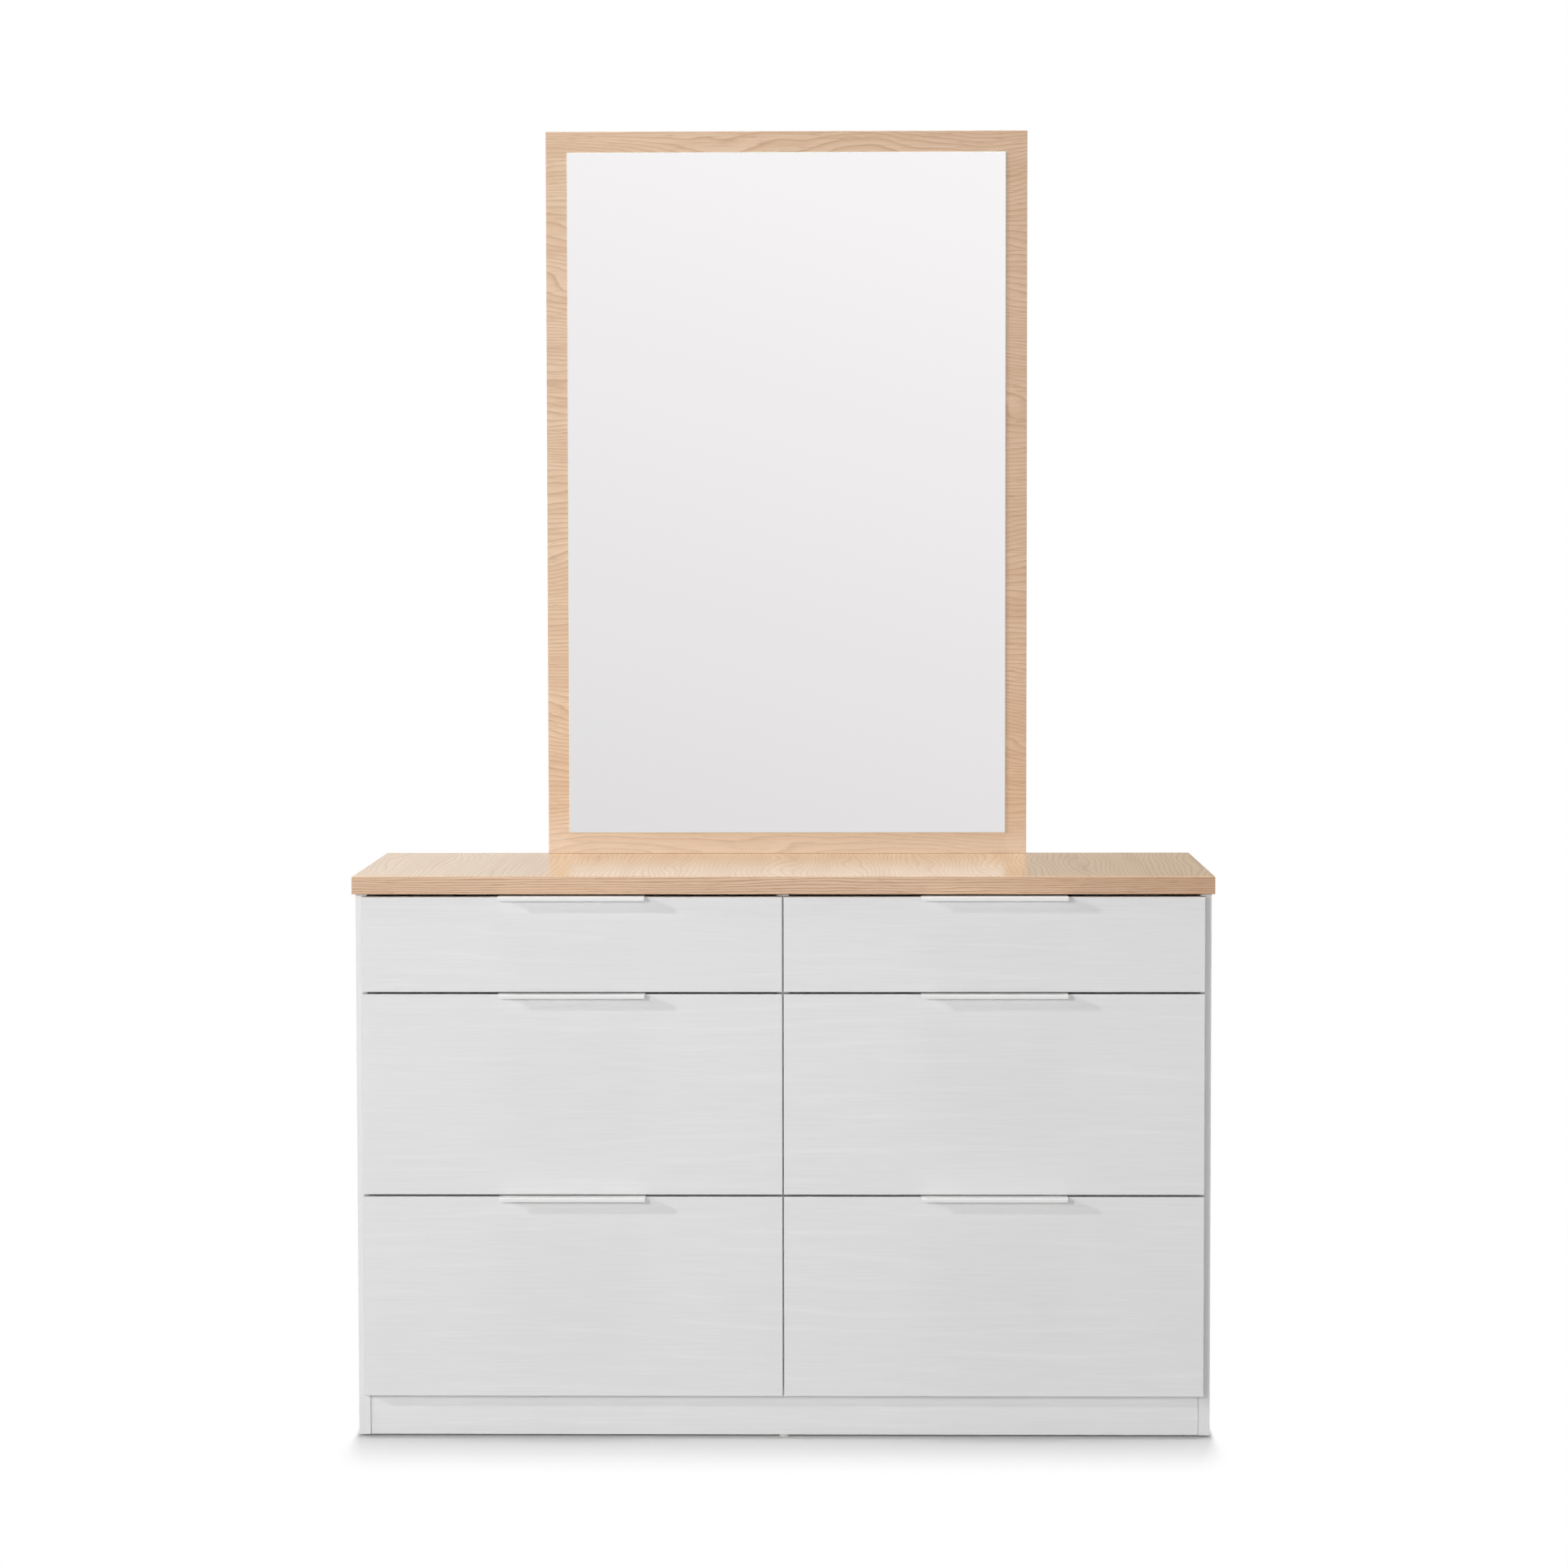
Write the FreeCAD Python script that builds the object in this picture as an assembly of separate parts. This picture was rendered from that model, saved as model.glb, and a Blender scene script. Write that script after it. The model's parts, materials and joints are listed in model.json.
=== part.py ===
import FreeCAD
import Part
import os
from FreeCAD import Vector

# Dressing table: six drawers in two columns under a thick top, with a tall mirror standing on it.
# Millimetres. +X is to the right, +Y to the back and +Z up. The origin is on the floor, below the
# middle of the whole object, from the lips of the drawer pulls to the backs of the mirror battens.

# Top panel
TOP_WIDTH = 1200.0
TOP_DEPTH = 450.0
TOP_THICKNESS = 25.0
TOP_SIDE_OVERHANG = 3.0      # past each side panel
TOP_FRONT_OVERHANG = 3.0     # ahead of the drawer fronts
TOP_ARRIS = 2.0              # rounding of the upper edges

# Case
BOARD = 16.0
PLINTH_HEIGHT = 64.0         # its upper edge is hidden by the lower drawer fronts
PLINTH_SETBACK = 2.0         # behind the front edges of the side panels
PLINTH_END_PLAY = 0.5        # between the front plinth and each side panel
REAR_RAIL_HEIGHT = 150.0
BACK_THICKNESS = 3.0
BACK_EDGE_INSET = 3.0        # of the back sheets from the outer faces of the case
BACK_SHEET_JOINT = 1.0       # between the two back sheets, on the partition
BACK_LAP = 10.0              # of the back sheets below the base panel
GLIDE_DIAMETER = 14.0        # glides nailed under the side panels and the plinths
GLIDE_HEIGHT = 3.0
GLIDE_END_INSET = 40.0       # of their middles from the ends of the side panels

# Drawer fronts
FRONT_THICKNESS = 16.0
FRONT_ARRIS = 1.0
SHALLOW_FRONT = 133.0
DEEP_FRONT = 281.0
FLOOR_TO_FRONTS = 61.0
ROW_GAP = 3.0
TOP_GAP = 4.0
CENTRE_GAP = 2.0
SIDE_REVEAL = 10.0           # of each side panel's edge beside the fronts
CASE_GAP = 1.5               # between the backs of the fronts and the case

# Drawer boxes
BOX_WALL = 12.0
BOX_RISE = 28.0              # lower edge of the box above the lower edge of its front
SHALLOW_BOX_DROP = 21.0      # upper edge of the box below the upper edge of its front
DEEP_BOX_DROP = 63.0
BOX_REAR_SPACE = 22.0        # between a closed box and the rear rail
BOTTOM_THICKNESS = 3.0
BOTTOM_RISE = 10.0           # of the bottom above the lower edge of the box
GROOVE_DEPTH = 6.0
GROOVE_PLAY = 0.3            # over the bottom, in its grooves
BOTTOM_EDGE_PLAY = 0.5       # between the edges of the bottom and the floors of its grooves

# Lip pulls, bent from sheet, hooked over the upper edges of the fronts
PULL_LENGTH = 204.0
PULL_REACH = 22.0            # ahead of the front
PULL_SHEET = 1.5
PULL_LIP = 5.5               # height of the turned-down lip, sheet included
PULL_LEG = 25.0              # height of the leg behind the front

# Ball-bearing runners
RUNNER_SPACE = 12.5          # between a case wall and a drawer box
RUNNER_RISE = 42.0           # middle of the runner above the lower edge of the box
RUNNER_SETBACK = 2.0         # behind the front edges of the case
RUNNER_SHEET = 1.2
CHANNEL_HEIGHT = 35.0
CHANNEL_DEPTH = 9.0
CHANNEL_LIP = 4.3
CHANNEL_REAR_SPACE = 8.5     # between the channel and the rear rail
RAIL_REAR_INSET = 0.5        # from the back of the box
RAIL_TIP = 2.7               # from the case wall to the tips of the rail's flanges
RUNNER_ENGAGED = 86.0        # rail left in the channel when the drawer is open
BALL_DIAMETER = 4.8
BALL_PLAY = 0.3              # to the channel and to the rail
BALLS_IN_ROW = 3
CAGE_SHEET = 0.6
CAGE_END_GAP = 3.0           # from the ends of the engaged length
CAGE_PLAY = 0.4              # to the web and the lips of the channel

# Mirror
GLASS_WIDTH = 650.0
GLASS_HEIGHT = 1008.0
GLASS_THICKNESS = 3.0
GLASS_ARRIS = 1.0
MIRROR_BORDER = 31.0
MIRROR_BOARD_THICKNESS = 16.0
MIRROR_BOARD_ARRIS = 1.0
BATTEN_WIDTH = 60.0
BATTEN_THICKNESS = 16.0
BATTEN_SPREAD = 420.0        # between the middles of the two battens
BATTEN_RISE = 500.0          # above the top panel
BATTEN_ARRIS = 2.0

# Places across the width, from the middle
case_half = TOP_WIDTH / 2 - TOP_SIDE_OVERHANG
bay_outer = case_half - BOARD
bay_inner = BOARD / 2
front_outer = case_half - SIDE_REVEAL
front_inner = CENTRE_GAP / 2
box_outer = bay_outer - RUNNER_SPACE
box_inner = bay_inner + RUNNER_SPACE
mirror_half = GLASS_WIDTH / 2 + MIRROR_BORDER

# Places from front to back
overall_depth = PULL_REACH - TOP_FRONT_OVERHANG + TOP_DEPTH + BATTEN_THICKNESS
front_y = PULL_REACH - overall_depth / 2
front_back_y = front_y + FRONT_THICKNESS
case_front_y = front_back_y + CASE_GAP
plinth_y = case_front_y + PLINTH_SETBACK
top_front_y = front_y - TOP_FRONT_OVERHANG
top_back_y = top_front_y + TOP_DEPTH
case_back_y = top_back_y - BACK_THICKNESS
rear_rail_y = case_back_y - BOARD
box_back_y = rear_rail_y - BOX_REAR_SPACE
runner_front_y = case_front_y + RUNNER_SETBACK
channel_length = rear_rail_y - CHANNEL_REAR_SPACE - runner_front_y
rail_length = box_back_y - RAIL_REAR_INSET - runner_front_y
drawer_travel = rail_length - RUNNER_ENGAGED
mirror_front_y = top_back_y - MIRROR_BOARD_THICKNESS

# Heights
deep_z = FLOOR_TO_FRONTS
middle_z = deep_z + DEEP_FRONT + ROW_GAP
shallow_z = middle_z + DEEP_FRONT + ROW_GAP
case_height = shallow_z + SHALLOW_FRONT + TOP_GAP
top_z = case_height + TOP_THICKNESS
base_z = GLIDE_HEIGHT + PLINTH_HEIGHT
base_top_z = base_z + BOARD
rear_rail_z = case_height - REAR_RAIL_HEIGHT

# The rows of drawers: name, lower edge and height of the front, and how far the box stops below it
ROWS = (
    ("lower", deep_z, DEEP_FRONT, DEEP_BOX_DROP),
    ("middle", middle_z, DEEP_FRONT, DEEP_BOX_DROP),
    ("upper", shallow_z, SHALLOW_FRONT, SHALLOW_BOX_DROP),
)
COLUMNS = (("left", -1), ("right", 1))


def board(x_ends, y_ends, z_ends):
    """A square-edged board between two places on each axis, given in any order."""
    low = Vector(min(x_ends), min(y_ends), min(z_ends))
    high = Vector(max(x_ends), max(y_ends), max(z_ends))
    size = high - low
    return Part.makeBox(size.x, size.y, size.z, low)


def edges_on(shape, axis, place):
    """The edges of a shape that lie wholly at one place on an axis."""
    low, high = axis + "Min", axis + "Max"
    found = []
    for edge in shape.Edges:
        limits = edge.BoundBox
        if abs(getattr(limits, low) - place) < 1e-4 and abs(getattr(limits, high) - place) < 1e-4:
            found.append(edge)
    return found


def bent_sheet(points, thickness, sweep):
    """A bent sheet drawn along a straight line. A thickness above 0 lies outside the bends of the
    path, with an arc round each corner, and one below 0 lies inside them, with sharp corners."""
    section = Part.makePolygon(points).makeOffset2D(thickness, 0, True, True)
    return section.Faces[0].extrude(sweep)


def make_top_panel():
    panel = board((-TOP_WIDTH / 2, TOP_WIDTH / 2), (top_front_y, top_back_y), (case_height, top_z))
    return panel.makeFillet(TOP_ARRIS, edges_on(panel, "Z", top_z))


def make_side_panel(side):
    width = (side * bay_outer, side * case_half)
    return board(width, (case_front_y, case_back_y), (GLIDE_HEIGHT, case_height))


def make_centre_partition():
    """Stands on the base, and is notched at the back for the rear rail."""
    partition = board((-bay_inner, bay_inner), (case_front_y, case_back_y), (base_top_z, case_height))
    notch = board((-bay_inner, bay_inner), (rear_rail_y, case_back_y), (rear_rail_z, case_height))
    return partition.cut(notch)


def make_base_panel():
    return board((-bay_outer, bay_outer), (case_front_y, case_back_y), (base_z, base_top_z))


def make_plinth(y, end_play):
    half = bay_outer - end_play
    return board((-half, half), (y, y + BOARD), (GLIDE_HEIGHT, base_z))


def make_glides():
    """Two discs under each side panel and one under the middle of each plinth."""
    panel_middle = (bay_outer + case_half) / 2
    middles = [Vector(0, plinth_y + BOARD / 2, 0), Vector(0, rear_rail_y + BOARD / 2, 0)]
    for x in (-panel_middle, panel_middle):
        for y in (case_front_y + GLIDE_END_INSET, case_back_y - GLIDE_END_INSET):
            middles.append(Vector(x, y, 0))
    glides = [Part.makeCylinder(GLIDE_DIAMETER / 2, GLIDE_HEIGHT, middle) for middle in middles]
    return Part.makeCompound(glides)


def make_rear_rail():
    return board((-bay_outer, bay_outer), (rear_rail_y, case_back_y), (rear_rail_z, case_height))


def make_back_sheet(side):
    outer = side * (case_half - BACK_EDGE_INSET)
    inner = side * BACK_SHEET_JOINT / 2
    return board((inner, outer), (case_back_y, top_back_y), (base_z - BACK_LAP, case_height))


def make_mirror_board():
    height = GLASS_HEIGHT + 2 * MIRROR_BORDER
    panel = board((-mirror_half, mirror_half), (mirror_front_y, top_back_y), (top_z, top_z + height))
    return panel.makeFillet(MIRROR_BOARD_ARRIS, edges_on(panel, "Y", mirror_front_y))


def make_mirror_glass():
    low_z = top_z + MIRROR_BORDER
    front = mirror_front_y - GLASS_THICKNESS
    glass = board((-GLASS_WIDTH / 2, GLASS_WIDTH / 2), (front, mirror_front_y), (low_z, low_z + GLASS_HEIGHT))
    return glass.makeChamfer(GLASS_ARRIS, edges_on(glass, "Y", front))


def make_batten(side):
    middle = side * BATTEN_SPREAD / 2
    back = top_back_y + BATTEN_THICKNESS
    width = (middle - BATTEN_WIDTH / 2, middle + BATTEN_WIDTH / 2)
    batten = board(width, (top_back_y, back), (rear_rail_z, top_z + BATTEN_RISE))
    return batten.makeChamfer(BATTEN_ARRIS, edges_on(batten, "Y", back))


def make_drawer_front(side, low_z, height):
    face = board((side * front_inner, side * front_outer), (front_y, front_back_y), (low_z, low_z + height))
    face = face.makeFillet(FRONT_ARRIS, edges_on(face, "Y", front_y))
    bottom_z = low_z + BOX_RISE + BOTTOM_RISE
    ends = (side * (box_inner + BOX_WALL - GROOVE_DEPTH), side * (box_outer - BOX_WALL + GROOVE_DEPTH))
    groove_z = (bottom_z, bottom_z + BOTTOM_THICKNESS + GROOVE_PLAY)
    return face.cut(board(ends, (front_back_y - GROOVE_DEPTH, front_back_y), groove_z))


def make_drawer_sides(side, box_z, box_height):
    """Two walls, each with a groove along its inner face for the bottom."""
    bottom_z = box_z + BOTTOM_RISE
    groove_z = (bottom_z, bottom_z + BOTTOM_THICKNESS + GROOVE_PLAY)
    length = (front_back_y, box_back_y)
    walls = []
    for outer, inwards in ((box_inner, 1), (box_outer, -1)):
        inner = outer + inwards * BOX_WALL
        wall = board((side * outer, side * inner), length, (box_z, box_z + box_height))
        groove = board((side * (inner - inwards * GROOVE_DEPTH), side * inner), length, groove_z)
        walls.append(wall.cut(groove))
    return Part.makeCompound(walls)


def make_drawer_back(side, box_z, box_height):
    """Stands on the bottom, between the sides."""
    width = (side * (box_inner + BOX_WALL), side * (box_outer - BOX_WALL))
    low_z = box_z + BOTTOM_RISE + BOTTOM_THICKNESS
    return board(width, (box_back_y - BOX_WALL, box_back_y), (low_z, box_z + box_height))


def make_drawer_bottom(side, box_z):
    """Held in the grooves of the sides and the front, and runs out under the back."""
    tongue = GROOVE_DEPTH - BOTTOM_EDGE_PLAY
    width = (side * (box_inner + BOX_WALL - tongue), side * (box_outer - BOX_WALL + tongue))
    low_z = box_z + BOTTOM_RISE
    return board(width, (front_back_y - tongue, box_back_y), (low_z, low_z + BOTTOM_THICKNESS))


def make_pull(side, edge_z):
    """A strip hooked over the front's upper edge: a leg behind it, a flange over it and a lip."""
    start = side * (front_inner + front_outer) / 2 - PULL_LENGTH / 2
    lip_inside_y = front_y - PULL_REACH + PULL_SHEET
    inside = [
        Vector(start, front_back_y, edge_z - PULL_LEG),
        Vector(start, front_back_y, edge_z),
        Vector(start, lip_inside_y, edge_z),
        Vector(start, lip_inside_y, edge_z + PULL_SHEET - PULL_LIP),
    ]
    return bent_sheet(inside, PULL_SHEET, Vector(PULL_LENGTH, 0, 0))


def make_channel():
    """The runner's outer member. Its web lies on a case wall at X 0, its lips hold in the balls."""
    web = RUNNER_SHEET
    lip = CHANNEL_DEPTH - RUNNER_SHEET
    half = CHANNEL_HEIGHT / 2 - RUNNER_SHEET
    edge = CHANNEL_HEIGHT / 2 - CHANNEL_LIP
    inside = [
        Vector(lip, 0, -edge), Vector(lip, 0, -half), Vector(web, 0, -half),
        Vector(web, 0, half), Vector(lip, 0, half), Vector(lip, 0, edge),
    ]
    return bent_sheet(inside, RUNNER_SHEET, Vector(0, channel_length, 0))


def ball_height():
    """From the middle of a runner to the middles of its balls."""
    return CHANNEL_HEIGHT / 2 - RUNNER_SHEET - BALL_PLAY - BALL_DIAMETER / 2


def make_rail():
    """The runner's inner member, a channel on the drawer whose flanges run between the balls."""
    half = ball_height() - BALL_DIAMETER / 2 - BALL_PLAY - RUNNER_SHEET
    web = RUNNER_SPACE - RUNNER_SHEET
    inside = [
        Vector(RAIL_TIP, 0, half), Vector(web, 0, half),
        Vector(web, 0, -half), Vector(RAIL_TIP, 0, -half),
    ]
    return bent_sheet(inside, RUNNER_SHEET, Vector(0, rail_length, 0))


def cage_length():
    return RUNNER_ENGAGED - 2 * CAGE_END_GAP


def make_ball_cage():
    """A folded strip that keeps two rows of balls apart, above and below the rail."""
    web = RUNNER_SHEET + CAGE_PLAY
    tip = CHANNEL_DEPTH - RUNNER_SHEET - CAGE_PLAY
    half = ball_height() + CAGE_SHEET / 2
    outside = [Vector(tip, 0, -half), Vector(web, 0, -half), Vector(web, 0, half), Vector(tip, 0, half)]
    cage = bent_sheet(outside, -CAGE_SHEET, Vector(0, cage_length(), 0))
    middle_x = CHANNEL_DEPTH / 2
    pitch = cage_length() / BALLS_IN_ROW
    balls = []
    for row in (-1, 1):
        for number in range(BALLS_IN_ROW):
            middle = Vector(middle_x, pitch * (number + 0.5), row * ball_height())
            balls.append(make_ball(middle))
    return cage.fuse(balls)


def make_ball(middle):
    """A ball worked out in eighteen flats, which all touch the true round ball."""
    corner = middle - Vector(1, 1, 1) * (BALL_DIAMETER / 2)
    cube = Part.makeBox(BALL_DIAMETER, BALL_DIAMETER, BALL_DIAMETER, corner)
    ball = cube
    for axis in (Vector(1, 0, 0), Vector(0, 1, 0), Vector(0, 0, 1)):
        turned = cube.copy()
        turned.rotate(middle, axis, 45)
        ball = ball.common(turned)
    return ball


def on_both_walls(member, side, start_y, middle_z):
    """A runner member on the two walls of one bay, turned over on the right-hand wall."""
    mirrored = member.mirror(Vector(0, 0, 0), Vector(1, 0, 0))
    low_x, high_x = sorted((side * bay_inner, side * bay_outer))
    placed = []
    for shape, x in ((member, low_x), (mirrored, high_x)):
        placed.append(shape.translated(Vector(x, start_y, middle_z)))
    return placed


def make_drawers():
    """All six drawers and the members of their runners, by node."""
    nodes = {}
    channel, rail, cage = make_channel(), make_rail(), make_ball_cage()
    cage_y = runner_front_y + CAGE_END_GAP + drawer_travel / 2
    for row, low_z, height, drop in ROWS:
        box_z = low_z + BOX_RISE
        box_height = height - BOX_RISE - drop
        runner_z = box_z + RUNNER_RISE
        channels = []
        for column, side in COLUMNS:
            name = row + "_" + column
            nodes[name + "_drawer_front"] = make_drawer_front(side, low_z, height)
            nodes[name + "_drawer_sides"] = make_drawer_sides(side, box_z, box_height)
            nodes[name + "_drawer_back"] = make_drawer_back(side, box_z, box_height)
            nodes[name + "_drawer_bottom"] = make_drawer_bottom(side, box_z)
            nodes[name + "_pull"] = make_pull(side, low_z + height)
            rails = on_both_walls(rail, side, runner_front_y, runner_z)
            cages = on_both_walls(cage, side, cage_y, runner_z)
            nodes[name + "_runner_rails"] = Part.makeCompound(rails)
            nodes[name + "_ball_cages"] = Part.makeCompound(cages)
            channels += on_both_walls(channel, side, runner_front_y, runner_z)
        nodes[row + "_runner_channels"] = Part.makeCompound(channels)
    return nodes


def make_case():
    """The fixed boards, by node."""
    nodes = {
        "top_panel": make_top_panel(),
        "centre_partition": make_centre_partition(),
        "base_panel": make_base_panel(),
        "front_plinth": make_plinth(plinth_y, PLINTH_END_PLAY),
        "rear_plinth": make_plinth(rear_rail_y, 0),
        "glides": make_glides(),
        "rear_rail": make_rear_rail(),
        "mirror_board": make_mirror_board(),
        "mirror_glass": make_mirror_glass(),
    }
    for column, side in COLUMNS:
        nodes[column + "_side_panel"] = make_side_panel(side)
        nodes[column + "_back_sheet"] = make_back_sheet(side)
        nodes[column + "_mirror_batten"] = make_batten(side)
    return nodes


os.makedirs("parts", exist_ok=True)
nodes = make_case()
nodes.update(make_drawers())
for name, shape in nodes.items():
    shape.exportStep("parts/" + name + ".step")
print(len(nodes), "nodes,", sum(len(shape.Solids) for shape in nodes.values()), "solids")
print("all valid:", all(shape.isValid() for shape in nodes.values()))
print("drawer travel", drawer_travel, "height of the top", top_z, "overall depth", overall_depth)
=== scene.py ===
# %% [markdown]
# A dressing table: six drawers under an oak-faced top, with a tall mirror standing at the back.
# The boards, runners and pulls come from the imported model, which is already to size.
# This lesson gives them their finishes, adds the small heads of screws and pins that hold
# them together, and sets up a camera and a studio like the one the table was pictured in.
# Loading comes first.

# %% Load the model
import json
import math

import bpy
from mathutils import Matrix, Vector


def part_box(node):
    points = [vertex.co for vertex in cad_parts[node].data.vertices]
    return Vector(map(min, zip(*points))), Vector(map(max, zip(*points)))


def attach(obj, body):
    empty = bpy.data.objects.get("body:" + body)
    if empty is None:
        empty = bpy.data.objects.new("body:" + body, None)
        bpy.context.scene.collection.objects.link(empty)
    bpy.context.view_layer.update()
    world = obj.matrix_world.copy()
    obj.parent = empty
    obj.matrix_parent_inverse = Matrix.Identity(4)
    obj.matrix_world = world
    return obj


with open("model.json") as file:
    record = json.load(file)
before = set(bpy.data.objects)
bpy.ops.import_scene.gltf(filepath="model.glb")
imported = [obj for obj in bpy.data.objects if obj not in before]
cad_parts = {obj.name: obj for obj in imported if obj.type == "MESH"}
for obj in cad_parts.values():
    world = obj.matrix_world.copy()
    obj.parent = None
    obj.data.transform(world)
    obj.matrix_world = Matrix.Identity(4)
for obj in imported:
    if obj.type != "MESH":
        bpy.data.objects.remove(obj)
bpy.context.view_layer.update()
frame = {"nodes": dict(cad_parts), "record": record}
scene = bpy.context.scene

# %% [markdown]
# The table was pictured from far away with a long lens, a little to the right of its middle and
# a little above the top. A camera could be placed by eye and nudged. Here its place and its turn
# were worked out from the straight edges of the table, so that the edges of the render fall on
# the same lines. The lens is given for a square picture, so the sensor's width is its height too.

# %% Camera
SENSOR_MM = 36
LENS_MM = 96.304
CAMERA_PLACE = (0.0915, -6.03144, 1.24925)
LEFT_DEGREES = 0.8834
DOWN_DEGREES = 3.2503
TILT_DEGREES = -0.0878

camera_data = bpy.data.cameras.new("studio_camera")
camera_data.sensor_width = SENSOR_MM
camera_data.lens = LENS_MM
camera = bpy.data.objects.new("studio_camera", camera_data)
scene.collection.objects.link(camera)
turn = (
    Matrix.Rotation(math.radians(LEFT_DEGREES), 4, "Z")
    @ Matrix.Rotation(math.radians(90 - DOWN_DEGREES), 4, "X")
    @ Matrix.Rotation(math.radians(TILT_DEGREES), 4, "Z")
)
camera.matrix_world = Matrix.Translation(CAMERA_PLACE) @ turn
scene.camera = camera
scene.view_settings.view_transform = "Standard"
print("camera stands", [round(v, 3) for v in camera.location], "lens", camera_data.lens)

# %% [markdown]
# Every finish below is a net of nodes. Nets can be drawn by hand in the shader editor, but
# sums are easier to read as sums. The class Signal wraps one output socket, and its operators
# add the Math nodes, so that 1 - mask is written just like that. The class Recipe holds one
# tree and adds every other kind of node: settings first, then the sockets. The same two
# classes serve the shaders here and the geometry nodes further down.

# %% Writing nodes as sums
class Signal:
    """One output socket. Its operators add Math nodes to the tree it belongs to."""

    def __init__(self, recipe, socket):
        self.recipe = recipe
        self.socket = socket

    def maths(self, operation, *terms):
        return self.recipe.node("ShaderNodeMath", {"operation": operation}, dict(enumerate(terms)))

    def output(self, name):
        return Signal(self.recipe, self.socket.node.outputs[name])

    def fraction(self):
        return self.maths("FRACT", self)

    def size(self):
        return self.maths("ABSOLUTE", self)

    def __add__(self, other):
        return self.maths("ADD", self, other)

    def __radd__(self, other):
        return self.maths("ADD", other, self)

    def __sub__(self, other):
        return self.maths("SUBTRACT", self, other)

    def __rsub__(self, other):
        return self.maths("SUBTRACT", other, self)

    def __mul__(self, other):
        return self.maths("MULTIPLY", self, other)

    def __rmul__(self, other):
        return self.maths("MULTIPLY", other, self)

    def __pow__(self, other):
        return self.maths("POWER", self, other)

    def __rpow__(self, other):
        return self.maths("POWER", other, self)

    def __gt__(self, other):
        return self.maths("GREATER_THAN", self, other)

    def __lt__(self, other):
        return self.maths("LESS_THAN", self, other)


class Recipe:
    """A node tree that is being written."""

    def __init__(self, tree):
        self.tree = tree

    def node(self, kind, settings=None, sockets=None, output=0):
        made = self.tree.nodes.new(kind)
        for name, value in (settings or {}).items():
            if name == "stops":
                self.set_stops(made.color_ramp, value)
            else:
                setattr(made, name, value)
        for name, value in (sockets or {}).items():
            if isinstance(value, Signal):
                self.tree.links.new(value.socket, made.inputs[name])
            else:
                made.inputs[name].default_value = value
        return Signal(self, made.outputs[output]) if len(made.outputs) else None

    def set_stops(self, ramp, stops):
        while len(ramp.elements) < len(stops):
            ramp.elements.new(1)
        for element, (place, colour) in zip(ramp.elements, stops):
            element.position = place
            element.color = colour

    def mix(self, share, first, second):
        return self.node("ShaderNodeMix", {"data_type": "RGBA"}, {0: share, 6: first, 7: second}, 2)

    def noise(self, place, detail=2, roughness=0.5):
        sockets = {"Vector": place, "Scale": 1, "Detail": detail, "Roughness": roughness}
        return self.node("ShaderNodeTexNoise", {}, sockets)

    def step(self, value, low, high):
        """0 up to low, 1 from high on, and a soft rise between them."""
        sockets = {"Value": value, "From Min": low, "From Max": high}
        return self.node("ShaderNodeMapRange", {"interpolation_type": "SMOOTHSTEP"}, sockets)

    def bump(self, height, strength, distance):
        sockets = {"Height": height, "Strength": strength, "Distance": distance}
        return self.node("ShaderNodeBump", {}, sockets)

    def split(self, vector):
        """The X of a vector. Its Y and Z are other outputs of the same node."""
        return self.node("ShaderNodeSeparateXYZ", {}, {0: vector})

    def join(self, x=0.0, y=0.0, z=0.0):
        return self.node("ShaderNodeCombineXYZ", {}, {0: x, 1: y, 2: z})


print("node classes:", Signal.__name__, "and", Recipe.__name__)

# %% [markdown]
# A few steps are the same for every finish: an empty material with a recipe to write in, one shader
# at its end, colours as they are read off a picture, and a place that is stretched along the grain,
# so that a round noise turns into long streaks. They could be written out each time, but as
# functions they leave each finish short, and only what is special about it is left to read.

# %% Starting and closing a finish
def tint(red, green, blue):
    """A colour on the scale of 0 to 255 that pictures use, as the linear light that shaders use."""
    levels = [level / 255 for level in (red, green, blue)]
    return [v / 12.92 if v < 0.04045 else ((v + 0.055) / 1.055) ** 2.4 for v in levels] + [1]


def new_finish(name):
    """An empty material, with its recipe and the surface's place in metres."""
    finish = bpy.data.materials.new(name)
    finish.use_nodes = True
    finish.node_tree.nodes.clear()
    recipe = Recipe(finish.node_tree)
    return finish, recipe, recipe.node("ShaderNodeTexCoord", output="Object")


def close_finish(recipe, sockets):
    """The one shader of a finish, and the output that it goes to."""
    shader = recipe.node("ShaderNodeBsdfPrincipled", {}, sockets)
    recipe.node("ShaderNodeOutputMaterial", {}, {"Surface": shader})


def stretched(recipe, place, along, per_metre_along, per_metre_across):
    """The place, scaled so that a noise on it runs out long along one axis."""
    scale = [per_metre_along if axis == along else per_metre_across for axis in "XYZ"]
    return recipe.node("ShaderNodeMapping", {}, {"Vector": place, "Scale": scale})


print("a mid grey of 128 is", round(tint(128, 128, 128)[0], 3), "in linear light")
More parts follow.
